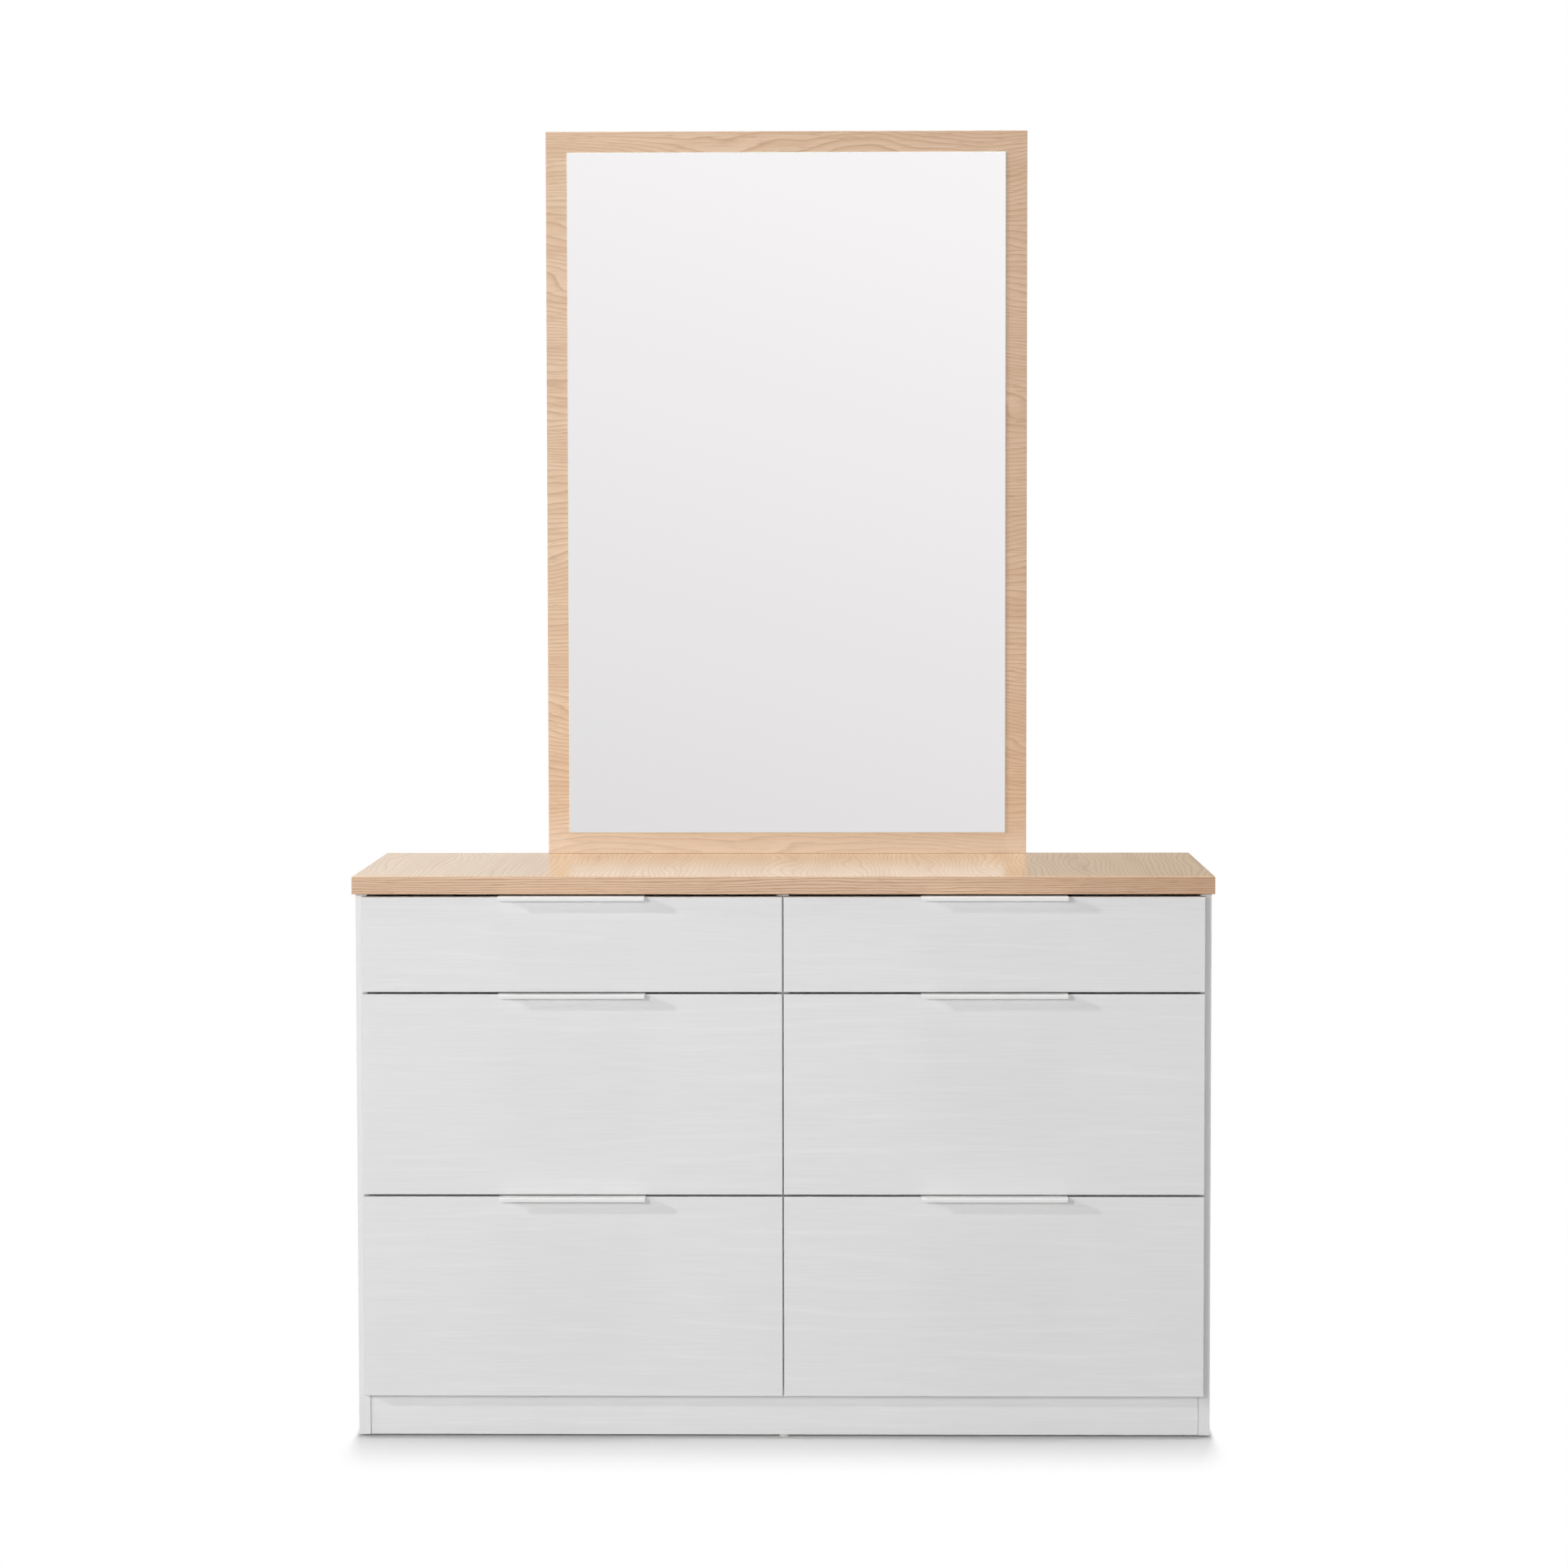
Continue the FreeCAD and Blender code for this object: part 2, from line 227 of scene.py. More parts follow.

# %% [markdown]
# The top and the mirror's board are faced with a film printed and pressed like planed oak.
# A picture of oak would show its tiles, so the figure is worked out. Each point gets a count of
# rings: so many to the metre straight across the grain, and more or fewer where a noise that is
# stretched along the grain makes hills and hollows. The fraction of that count runs through each
# ring once, and where a hill outweighs the straight rings they close into ovals and flames.
# A colour ramp gives each ring its pale early wood and its narrow dark late wood. Fine fibres
# and short pores lie over it. The narrow edges are banded with strips of the same film, whose
# lines are finer and run along the edge. Two marks in the colour are painted light: a painted
# shade makes the oak a little deeper towards the right, away from the lamps, and a painted light
# pales the foot of the mirror's board, as if the lit top shone back onto it. The figure of the top
# is the softer one, so a contrast says how much of it shows, and its face is a shade yellower, so
# a cast multiplies the red, green and blue of the face.

# %% Oak-effect board
RIPPLES_ALONG, RIPPLES_ACROSS = 5, 6
BAND_RINGS = (300, 7, 0.5, 0.05)
BAND_CONTRAST = 1.3
BAND_FACING = 0.7
STREAKS, FIBRES, PORES = (2, 42), (9, 420), (34, 900)
# Height of the painted light at the foot of the mirror's board.
PAINTED_FOOT_HEIGHT = 0.08
OAK_PLAIN, OAK_STREAK = tint(228, 201, 173), tint(201, 163, 131)
# The first colour on the next line is the dark of the pores and late wood, and also of a painted
# shade; the second is a painted light for the foot of the mirror's board.
OAK_DEEP_AND_SHADE, OAK_PAINTED_FOOT_LIGHT = tint(165, 122, 89), tint(242, 230, 215)
OAK_RING = [
    (0.0, tint(235, 209, 183)),
    (0.4, tint(231, 203, 176)),
    (0.72, tint(221, 189, 160)),
    (0.9, tint(190, 153, 123)),
    (1.0, tint(228, 199, 171)),
]


def ring_count(recipe, place, grain, straight, hills, length, width, ripples=1.3):
    """Rings up to a point: so many straight ones to the metre, and hills of a length and width."""
    across = stretched(recipe, place, grain, 0, straight)
    adding_up = {"operation": "DOT_PRODUCT"}
    count = recipe.node("ShaderNodeVectorMath", adding_up, {0: across, 1: (1, 1, 1)}, "Value")
    hill = recipe.noise(stretched(recipe, place, grain, 1 / length, 1 / width), detail=1.5)
    rippled = stretched(recipe, place, grain, RIPPLES_ALONG / length, RIPPLES_ACROSS / width)
    return count + hill * hills + recipe.noise(rippled) * ripples


def oak_finish(name, grain, rings, band_side, band_grain, gloss, contrast, painted_shade_to_right, painted_foot_light, cast):
    """Oak with its grain along one axis, and edge bands on the two sides that face band_side."""
    finish, recipe, place = new_finish(name)
    spot, facing = recipe.split(place), recipe.split(place.output("Normal"))
    band = facing.output(band_side).size() > BAND_FACING
    face_rings = ring_count(recipe, place, grain, *rings)
    band_rings = ring_count(recipe, place, band_grain, *BAND_RINGS)
    ring = (face_rings * (1 - band) + band_rings * band).fraction()

    def along_grain(per_metre_along, per_metre_across):
        face = stretched(recipe, place, grain, per_metre_along, per_metre_across)
        edge = stretched(recipe, place, band_grain, per_metre_along, per_metre_across)
        return recipe.node("ShaderNodeMix", {"data_type": "VECTOR"}, {0: band, 4: face, 5: edge}, 1)

    ring_colour = recipe.node("ShaderNodeValToRGB", {"stops": OAK_RING}, {0: ring})
    streak = recipe.step(recipe.noise(along_grain(*STREAKS), detail=3), 0.35, 0.72)
    fibre = recipe.noise(along_grain(*FIBRES), detail=2)
    pore = recipe.step(recipe.noise(along_grain(*PORES), detail=1), 0.6, 0.72)
    strength = contrast + band * (BAND_CONTRAST - contrast)
    shade = streak * (strength * 0.5 - band * 0.55) + recipe.step(fibre, 0.3, 0.7) * 0.16
    figured = recipe.mix(strength, OAK_PLAIN, ring_colour)
    toned = recipe.mix(shade, figured, OAK_STREAK)
    low, high, face_share, band_share = painted_shade_to_right
    # Painted shade: the oak turns deeper towards the right, where less lamp light falls.
    painted_right_shade = recipe.step(spot, low, high) * (face_share + band * (band_share - face_share))
    dark = pore * 0.35 + band * (0.23 + ring ** 3 * 0.35) + painted_right_shade
    colour = recipe.mix(dark, toned, OAK_DEEP_AND_SHADE)
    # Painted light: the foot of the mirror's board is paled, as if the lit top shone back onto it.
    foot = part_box("mirror_board")[0].z
    painted_foot_mask = (1 - recipe.step(spot.output("Z"), foot, foot + PAINTED_FOOT_HEIGHT)) * painted_foot_light
    colour = recipe.mix(painted_foot_mask, colour, OAK_PAINTED_FOOT_LIGHT)
    tinting = {"data_type": "RGBA", "blend_type": "MULTIPLY"}
    colour = recipe.node("ShaderNodeMix", tinting, {0: 1 - band, 6: colour, 7: cast}, 2)
    relief = recipe.bump(pore * -0.6 + fibre * 0.3, 0.1, 0.00005)
    close_finish(
        recipe,
        {
            "Base Color": colour,
            "Roughness": gloss + pore * 0.05 + fibre * 0.04 + band * 0.1,
            "Normal": relief,
        },
    )
    return finish


oak_top = oak_finish(
    "oak_top",
    grain="Y",
    rings=(130, 15, 0.6, 0.1, 0.25),
    band_side="Y",
    band_grain="X",
    gloss=0.2,
    contrast=0.55,
    # painted shade towards the right, on the edge band only
    painted_shade_to_right=(0.1, 0.65, 0, 0.3),
    # no painted light at the foot on the top
    painted_foot_light=0,
    cast=(1.05, 1.03, 0.92, 1),
)
oak_mirror_board = oak_finish(
    "oak_mirror_board",
    grain="X",
    rings=(140, 22, 0.4, 0.14),
    band_side="X",
    band_grain="Z",
    gloss=0.32,
    contrast=0.65,
    # painted shade towards the right, on the face and the band
    painted_shade_to_right=(-0.4, 0.4, 0.25, 0.25),
    # painted light at the foot of the mirror's board
    painted_foot_light=0.36,
    cast=(1, 1, 1, 1),
)
print("oak finishes:", oak_top.name, oak_mirror_board.name)

# %% [markdown]
# The case, the fronts and the drawer boxes are white-faced board. The white is not flat paint:
# the film is pressed with a faint figure of open-grained wood, which shows as soft lines a shade
# darker and catches the light at a low angle. It is the oak's recipe again, but nearly all of it
# goes to the relief and the gloss, and hardly any to the colour. Each board is cut with its grain
# along its length, so there is one finish for each of the three directions.

# %% White board
WHITE_RINGS = (70, 12, 1.1, 0.22)
WHITE_PALE, WHITE_SHADE = tint(229, 229, 229), tint(221, 221, 221)


def white_finish(grain):
    finish, recipe, place = new_finish("white_board_" + grain.lower())
    count = ring_count(recipe, place, grain, *WHITE_RINGS)
    line = count.maths("PINGPONG", count, 1) ** 4
    broken = recipe.step(recipe.noise(stretched(recipe, place, grain, 5, 60), detail=2), 0.4, 0.65)
    fibre = recipe.noise(stretched(recipe, place, grain, 12, 480), detail=2)
    cloud = recipe.noise(stretched(recipe, place, grain, 3, 9), detail=2)
    shade = line * broken * -0.45 + recipe.step(fibre, 0.3, 0.7) * 0.4 + cloud * 0.35 + 0.25
    close_finish(
        recipe,
        {
            "Base Color": recipe.mix(shade, WHITE_PALE, WHITE_SHADE),
            "Roughness": 0.4 + fibre * 0.1,
            "Normal": recipe.bump(fibre * 0.7 + line * broken * 0.6, 0.12, 0.0004),
        },
    )
    return finish


white_boards = {grain: white_finish(grain) for grain in "XYZ"}
print("white boards by grain:", sorted(white_boards))

# %% [markdown]
# The mirror is a plain sheet of float glass with a silvered back and a ground, slightly green edge.
# Glass over metal could be built in layers, but a polished metal with a silver's colour reflects
# the same and renders without noise. A mask on the facing keeps the silver to the large face,
# and leaves the edge and its small chamfer as pale green glass. A mirror is never quite clean,
# so a soft cloudy film changes its roughness by a hair.

# %% Mirror
SILVER_FACING = -0.9
EDGE_ROUGHNESS, SILVER_ROUGHNESS = 0.22, 0.008


def mirror_finish():
    finish, recipe, place = new_finish("silvered_glass")
    facing = recipe.split(place.output("Normal"))
    silver = facing.output("Y") < SILVER_FACING
    film = recipe.noise(stretched(recipe, place, "Z", 3, 5), detail=3)
    ground = recipe.noise(stretched(recipe, place, "Z", 300, 900), detail=2)
    edge = recipe.mix(ground, tint(216, 226, 222), tint(234, 240, 237))
    polish = silver * (EDGE_ROUGHNESS - SILVER_ROUGHNESS)
    close_finish(
        recipe,
        {
            "Base Color": recipe.mix(silver, edge, tint(246, 244, 245)),
            "Metallic": silver,
            "Roughness": EDGE_ROUGHNESS - polish + film * 0.01,
        },
    )
    return finish


mirror = mirror_finish()
print("mirror finish:", mirror.name)

# %% [markdown]
# The pulls are folded from steel sheet and powder-coated white. Powder melts into a coat with
# a very fine orange-peel texture, which a fine noise gives as relief. The coat is smoother than
# the boards, so it picks up a brighter line along its lip.

# %% Powder-coated pulls
def powder_coat_finish():
    finish, recipe, place = new_finish("white_powder_coat")
    peel = recipe.noise(stretched(recipe, place, "X", 700, 700), detail=2)
    patch = recipe.noise(stretched(recipe, place, "X", 12, 30), detail=2)
    close_finish(
        recipe,
        {
            "Base Color": recipe.mix(patch * 0.6, tint(231, 231, 230), tint(224, 224, 223)),
            "Roughness": 0.27 + patch * 0.1,
            "Normal": recipe.bump(peel, 0.08, 0.0004),
        },
    )
    return finish


powder_coat = powder_coat_finish()
print("pull finish:", powder_coat.name)

# %% [markdown]
# Inside, the drawers run on telescopic runners: a channel on the case, a rail on the drawer
# and a cage of steel balls between them. They are rolled from zinc-plated strip, so the metal
# has faint lines along its length and the cloudy bloom of zinc. The cage is a plainer, darker
# steel. One function makes both, and the screws as well, with other numbers.

# %% Plated steel
def steel_finish(name, bright, dull, roughness):
    finish, recipe, place = new_finish(name)
    rolled = recipe.noise(stretched(recipe, place, "Y", 6, 900), detail=2)
    bloom = recipe.noise(stretched(recipe, place, "Y", 60, 110), detail=3)
    worn = recipe.step(bloom, 0.35, 0.7) * 0.6 + rolled * 0.4
    close_finish(
        recipe,
        {
            "Base Color": recipe.mix(worn, bright, dull),
            "Metallic": 1.0,
            "Roughness": roughness + worn * 0.12,
            "Normal": recipe.bump(rolled, 0.06, 0.0002),
        },
    )
    return finish


runner_zinc = steel_finish("runner_zinc", tint(206, 209, 212), tint(178, 182, 187), 0.26)
cage_steel = steel_finish("cage_steel", tint(150, 152, 155), tint(112, 115, 120), 0.32)
screw_zinc = steel_finish("screw_zinc", tint(214, 212, 204), tint(180, 177, 168), 0.24)
print("steels:", runner_zinc.name, cage_steel.name, screw_zinc.name)

# %% [markdown]
# The back and the drawer bottoms are thin hardboard, lacquered white on the side that is seen and
# left brown on the other. The facing tells the sides apart: on the back the raw side faces
# backwards, and under a drawer it faces down. Raw hardboard is pressed wood fibre, so it has no
# grain, only short fibres lying every way and a fine print of the press's mesh.
# Battens of bare softwood carry the mirror's board. Their recipe is the oak's again, with wider,
# yellower rings and the grain upright.

# %% Hardboard and softwood
RAW_FACING = 0.5
SOFTWOOD_RINGS = (110, 12, 0.6, 0.06)


def hardboard_finish(name, raw_side, sign):
    finish, recipe, place = new_finish(name)
    facing = recipe.split(place.output("Normal"))
    raw = facing.output(raw_side) * sign > RAW_FACING
    fibre = recipe.noise(stretched(recipe, place, "X", 260, 420), detail=4, roughness=0.65)
    cloud = recipe.noise(stretched(recipe, place, "X", 9, 9), detail=3)
    brown = recipe.mix(recipe.step(fibre, 0.3, 0.7), tint(146, 108, 74), tint(112, 79, 51))
    brown = recipe.mix(cloud * 0.5, brown, tint(158, 120, 84))
    white = recipe.mix(cloud, tint(230, 229, 226), tint(223, 222, 219))
    close_finish(
        recipe,
        {
            "Base Color": recipe.mix(raw, white, brown),
            "Roughness": 0.45 + raw * 0.3,
            "Normal": recipe.bump(fibre * raw, 0.25, 0.0004),
        },
    )
    return finish


def softwood_finish():
    finish, recipe, place = new_finish("bare_softwood")
    ring = ring_count(recipe, place, "Z", *SOFTWOOD_RINGS).fraction()
    fibre = recipe.noise(stretched(recipe, place, "Z", 14, 700), detail=2)
    pale = recipe.mix(fibre, tint(226, 198, 153), tint(212, 180, 131))
    close_finish(
        recipe,
        {
            "Base Color": recipe.mix(ring ** 4 * 0.7, pale, tint(178, 134, 84)),
            "Roughness": 0.58 + fibre * 0.14,
            "Normal": recipe.bump(fibre + ring * -0.3, 0.25, 0.0004),
        },
    )
    return finish


back_hardboard = hardboard_finish("back_hardboard", "Y", 1)
bottom_hardboard = hardboard_finish("bottom_hardboard", "Z", -1)
softwood = softwood_finish()
print("inner boards:", back_hardboard.name, bottom_hardboard.name, softwood.name)

# %% [markdown]
# Six nylon glides keep the boards' cut ends off the floor. Nylon is a milky off-white, with fine
# scuffs where it has been slid.

# %% Nylon glides
def nylon_finish():
    finish, recipe, place = new_finish("glide_nylon")
    scuff = recipe.noise(stretched(recipe, place, "X", 180, 700), detail=3)
    close_finish(
        recipe,
        {
            "Base Color": recipe.mix(scuff, tint(222, 219, 209), tint(198, 194, 182)),
            "Roughness": 0.42 + scuff * 0.2,
        },
    )
    return finish


nylon = nylon_finish()
print("glide finish:", nylon.name)

# %% [markdown]
# Now the boards are dressed. The record says which slot each part takes its finish from. The
# slots with one finish can be looked up, and for the boards the part's own name tells the rest:
# sides stand with their grain upright, drawer sides have it front to back, and all else has it
# across. Only the material slots are set: the model's meshes stay as they are.

# %% Dress the model
SLOT_FINISHES = {
    "mirror_glass": mirror,
    "pull_paint": powder_coat,
    "glide_plastic": nylon,
    "runner_steel": runner_zinc,
    "cage_steel": cage_steel,
    "bare_wood": softwood,
}


def finish_for(node, slot):
    if slot == "oak_board":
        return oak_top if node == "top_panel" else oak_mirror_board
    if slot == "hardboard":
        return back_hardboard if node.endswith("back_sheet") else bottom_hardboard
    if slot == "white_board":
        upright = node.endswith("side_panel") or node == "centre_partition"
        return white_boards["Z" if upright else "Y" if node.endswith("drawer_sides") else "X"]
    return SLOT_FINISHES[slot]


for part in frame["record"]["subparts"]:
    board = frame["nodes"][part["node"]]
    for material_slot in board.material_slots:
        material_slot.material = finish_for(part["node"], part["material_slot"])

# %% [markdown]
# Flat-packed furniture is held by many small metal heads: cam discs that lock the drawer sides to
# the fronts, screws through the runners and the pulls, and pins round the back. They could be
# modelled once and copied by hand, but they all follow one rule, a round head with a crown and a
# cross-shaped recess, so one tree of geometry nodes makes them. Its inputs are the head's sizes.
# The points it stands on carry an attribute for the way that each head faces, and each head is
# spun by its own amount, as a screwdriver leaves it.

# %% A tree for screw, pin and cam heads
HEAD_INPUTS = {
    "Places": "Geometry",
    "Diameter": "Float",
    "Height": "Float",
    "Crown": "Float",
    "Recess": "Float",
    "Finish": "Material",
}
HEAD_CORNERS = 24
HEAD_CIRCLES = 3
ARM_WIDTH = 0.2
CUTTER_LIFT = 1.05
SPIN_SEED = 7


def head_tree():
    tree = bpy.data.node_groups.new("fitting_heads", "GeometryNodeTree")
    for name, kind in HEAD_INPUTS.items():
        tree.interface.new_socket(name=name, in_out="INPUT", socket_type="NodeSocket" + kind)
    tree.interface.new_socket(name="Heads", in_out="OUTPUT", socket_type="NodeSocketGeometry")
    recipe = Recipe(tree)
    given = recipe.node("NodeGroupInput")
    diameter, height = given.output("Diameter"), given.output("Height")
    recess = given.output("Recess")

    round_bar = {"Vertices": HEAD_CORNERS, "Fill Segments": HEAD_CIRCLES}
    round_bar.update({"Radius": diameter * 0.5, "Depth": height})
    blank = recipe.node("GeometryNodeMeshCylinder", {"fill_type": "TRIANGLE_FAN"}, round_bar)
    spot = recipe.split(recipe.node("GeometryNodeInputPosition"))
    flat = recipe.join(spot, spot.output("Y"))
    across = recipe.node("ShaderNodeVectorMath", {"operation": "LENGTH"}, {0: flat}, "Value")
    crown = given.output("Crown") * (spot.output("Z") > 0)
    fall = (across * 2 * diameter ** -1) ** 2 * height * crown
    drop = recipe.join(z=height * 0.5 - fall)
    crowned = recipe.node("GeometryNodeSetPosition", {}, {"Geometry": blank, "Offset": drop})

    length, width = diameter * recess, diameter * recess * ARM_WIDTH
    arms = recipe.node("GeometryNodeJoinGeometry")
    for x, y in ((length, width), (width, length)):
        arm = recipe.node("GeometryNodeMeshCube", {}, {"Size": recipe.join(x, y, height)})
        tree.links.new(arm.socket, arms.socket.node.inputs[0])
    lift = recipe.join(z=height * CUTTER_LIFT)
    cutter = recipe.node("GeometryNodeTransform", {}, {"Geometry": arms, "Translation": lift})
    cutting = {"operation": "DIFFERENCE"}
    cut = recipe.node("GeometryNodeMeshBoolean", cutting, {0: crowned, 1: cutter})
    either = {0: recess > 0, 1: crowned, 2: cut}
    head = recipe.node("GeometryNodeSwitch", {"input_type": "GEOMETRY"}, either)

    vectors = {"data_type": "FLOAT_VECTOR"}
    facing = recipe.node("GeometryNodeInputNamedAttribute", vectors, {"Name": "facing"})
    upright = recipe.node("FunctionNodeAlignRotationToVector", {"axis": "Z"}, {"Vector": facing})
    on_places = {"Points": given, "Instance": head, "Rotation": upright}
    standing = recipe.node("GeometryNodeInstanceOnPoints", {}, on_places)
    quarter = {2: 0.0, 3: math.pi / 2, "Seed": SPIN_SEED}
    angle = recipe.node("FunctionNodeRandomValue", {"data_type": "FLOAT"}, quarter, 1)
    spin = {"Instances": standing, "Rotation": recipe.join(z=angle), "Local Space": True}
    spun = recipe.node("GeometryNodeRotateInstances", {}, spin)
    solid = recipe.node("GeometryNodeRealizeInstances", {}, {"Geometry": spun})
    paint = {"Geometry": solid, "Material": given.output("Finish")}
    recipe.node("NodeGroupOutput", {}, {0: recipe.node("GeometryNodeSetMaterial", {}, paint)})
    return tree


heads = head_tree()
head_sockets = {item.name: item.identifier for item in heads.interface.items_tree}
print("head tree has", len(heads.nodes), "nodes and takes", sorted(head_sockets))

# %% [markdown]
# To use the tree, a mesh of bare points gets it as a modifier. Live modifiers would do for a
# picture, but a part of a model needs a mesh of its own. So the result is read back once as plain
# faces and the modifier is taken off, and then the heads are told which body they move with.

# %% Heads at given places
def fittings(name, body, slot, places, finish, diameter, height, crown, recess=0.0):
    """Heads at each (point, facing) of places, as one plain mesh that rides on a body."""
    points = bpy.data.meshes.new(name)
    points.from_pydata([point for point, facing in places], [], [])
    directions = points.attributes.new("facing", "FLOAT_VECTOR", "POINT")
    for entry, (point, facing) in zip(directions.data, places):
        entry.vector = facing
    piece = bpy.data.objects.new(name, points)
    scene.collection.objects.link(piece)
    modifier = piece.modifiers.new("heads", "NODES")
    modifier.node_group = heads
    inputs = {"Diameter": diameter, "Height": height, "Crown": crown}
    inputs.update({"Recess": recess, "Finish": finish})
    for label, value in inputs.items():
        modifier[head_sockets[label]] = value
    seen = bpy.context.evaluated_depsgraph_get()
    plain = bpy.data.meshes.new_from_object(piece.evaluated_get(seen), depsgraph=seen)
    piece.modifiers.clear()
    piece.data = plain
    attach(piece, body)
    print(name, "has", len(places), "heads")


# %% [markdown]
# Each drawer has three sorts of heads. Screws stand in the hollow of the runner rails, where the
# rail is fixed to the drawer's side. Screws hold the leg of the pull to the back of the front.
# Cam discs sit in the inner faces of the drawer's sides, near the front: a turn of the disc pulls
# the front tight. All places come from the boxes of the parts, so they follow the model.

# %% Fittings of the drawers
RAIL_SHEET = 0.0012
RAIL_SCREW_SHARES = (0.09, 0.42, 0.86)
SIDE_BOARD = 0.012
TALL_SIDE = 0.12
TALL_CAM_SHARES, LOW_CAM_SHARES = (0.3, 0.75), (0.55,)
CAM_INSET = 0.034
PULL_SCREW_OFFSETS = (-0.08, 0, 0.08)
LEG_SHARE = 0.6
RAIL_SCREW = {"diameter": 0.0075, "height": 0.002, "crown": 0.5, "recess": 0.5}
PULL_SCREW = {"diameter": 0.0065, "height": 0.0018, "crown": 0.55, "recess": 0.5}
CAM_DISC = {"diameter": 0.015, "height": 0.0004, "crown": 0.1, "recess": 0.55}

head_count = 0
for row in ("lower", "middle", "upper"):
    for column in ("left", "right"):
        drawer = row + "_" + column
        body = drawer + "_drawer"
        sides_low, sides_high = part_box(drawer + "_drawer_sides")
        rails_low, rails_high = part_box(drawer + "_runner_rails")
        pull_low, pull_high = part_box(drawer + "_pull")
        rail_middle = (rails_low.z + rails_high.z) / 2
        rail_places, cam_places = [], []
        for outside, face in ((-1, sides_low.x), (1, sides_high.x)):
            for share in RAIL_SCREW_SHARES:
                y = rails_low.y + share * (rails_high.y - rails_low.y)
                rail_places.append(((face + outside * RAIL_SHEET, y, rail_middle), (outside, 0, 0)))
            tall = sides_high.z - sides_low.z
            inner, cam_y = face - outside * SIDE_BOARD, sides_low.y + CAM_INSET
            for share in TALL_CAM_SHARES if tall > TALL_SIDE else LOW_CAM_SHARES:
                cam_places.append(((inner, cam_y, sides_low.z + share * tall), (-outside, 0, 0)))
        leg_height = pull_high.z - LEG_SHARE * (pull_high.z - pull_low.z)
        pull_middle = (pull_low.x + pull_high.x) / 2
        pull_places = [
            ((pull_middle + offset, pull_high.y, leg_height), (0, 1, 0))
            for offset in PULL_SCREW_OFFSETS
        ]
        for sort, places, sizes in (
            ("_rail_screws", rail_places, RAIL_SCREW),
            ("_pull_screws", pull_places, PULL_SCREW),
            ("_cam_discs", cam_places, CAM_DISC),
        ):
            fittings(drawer + sort, body, "runner_steel", places, screw_zinc, **sizes)
            head_count += len(places)
print("heads on the drawers:", head_count)

# %% [markdown]
# At the back, small round-headed pins hold the hardboard to the edges of the case, about a hand's
# width apart, and the battens are screwed to the rail and to the mirror's board. The pins are
# spaced evenly between the corners of each sheet, and those that would lie under a batten are left
# out.

# %% Fittings of the back
PIN_GAP = 0.11
PIN_INSET = 0.008
BATTEN_CLEARANCE = 0.006
BATTEN_SCREW_SHARES = (0.05, 0.17, 0.32, 0.64, 0.95)
BACK_PIN = {"diameter": 0.005, "height": 0.0009, "crown": 0.7}
BATTEN_SCREW = {"diameter": 0.009, "height": 0.0005, "crown": 0.3, "recess": 0.5}


def spaced(low, high):
    """Places from low to high, about a pin's gap apart."""
    count = max(2, round((high - low) / PIN_GAP) + 1)
    return [low + (high - low) * index / (count - 1) for index in range(count)]


pin_places = []
batten_places = []
for side in ("left", "right"):
    sheet_low, sheet_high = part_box(side + "_back_sheet")
    batten_low, batten_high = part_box(side + "_mirror_batten")
    across = spaced(sheet_low.x + PIN_INSET, sheet_high.x - PIN_INSET)
    upward = spaced(sheet_low.z + PIN_INSET, sheet_high.z - PIN_INSET)
    ring = [(x, z) for x in across for z in (upward[0], upward[-1])]
    ring += [(x, z) for x in (across[0], across[-1]) for z in upward[1:-1]]
    for x, z in ring:
        aside = not batten_low.x - BATTEN_CLEARANCE < x < batten_high.x + BATTEN_CLEARANCE
        if aside or z <= batten_low.z - BATTEN_CLEARANCE:
            pin_places.append(((x, sheet_high.y, z), (0, 1, 0)))
    middle = (batten_low.x + batten_high.x) / 2
    for share in BATTEN_SCREW_SHARES:
        z = batten_low.z + share * (batten_high.z - batten_low.z)
        batten_places.append(((middle, batten_high.y, z), (0, 1, 0)))
fittings("back_pins", "case", "runner_steel", pin_places, screw_zinc, **BACK_PIN)
fittings("batten_screws", "case", "runner_steel", batten_places, screw_zinc, **BATTEN_SCREW)

# %% [markdown]
# The studio's floor is a plain pale sheet. In the picture it is burnt out to white, and only the
# soft shadow at the foot of the table is left of it. A brighter lamp would burn out the table too,
# so the floor does it by itself: for rays from the camera, and for what is seen in the mirror, it
# goes over from a shaded floor at the table's foot to plain white. The shaded patch narrows as it
# leaves the foot, and its sides get softer. To the light that falls on the table it is an ordinary
# grey floor, paler at the foot, where it lights the plinth: an even white one would light the
# fronts from below, and leave shadows above the pulls. It ends before the mirror could show its
# far edge.

# %% Floor
FLOOR_SIDE, FLOOR_NEAR, FLOOR_FAR = 9, -10.5, 7
FLOOR_GLOW = 0.03
FLOOR_GREY = 0.4
FOOT_GREY = 0.7
FOOT_REACH = 0.35
SHADE_GREY = 0.66
SHADE_ASIDE = 0.008
SHADE_AHEAD = 0.25
SHADE_TAPER = 0.22
SHADE_FAN = 0.35


def grey(level):
    return (level, level, level, 1)


def seen_directly(recipe):
    """1 for rays from the camera, and for those of them that a shiny or clear surface sends on."""
    path = recipe.node("ShaderNodeLightPath", output="Is Camera Ray")
    other = path.maths("MAXIMUM", path.output("Is Glossy Ray"), path.output("Is Transmission Ray"))
    return path, path.maths("MAXIMUM", path, other) * (path.output("Diffuse Depth") < 1)


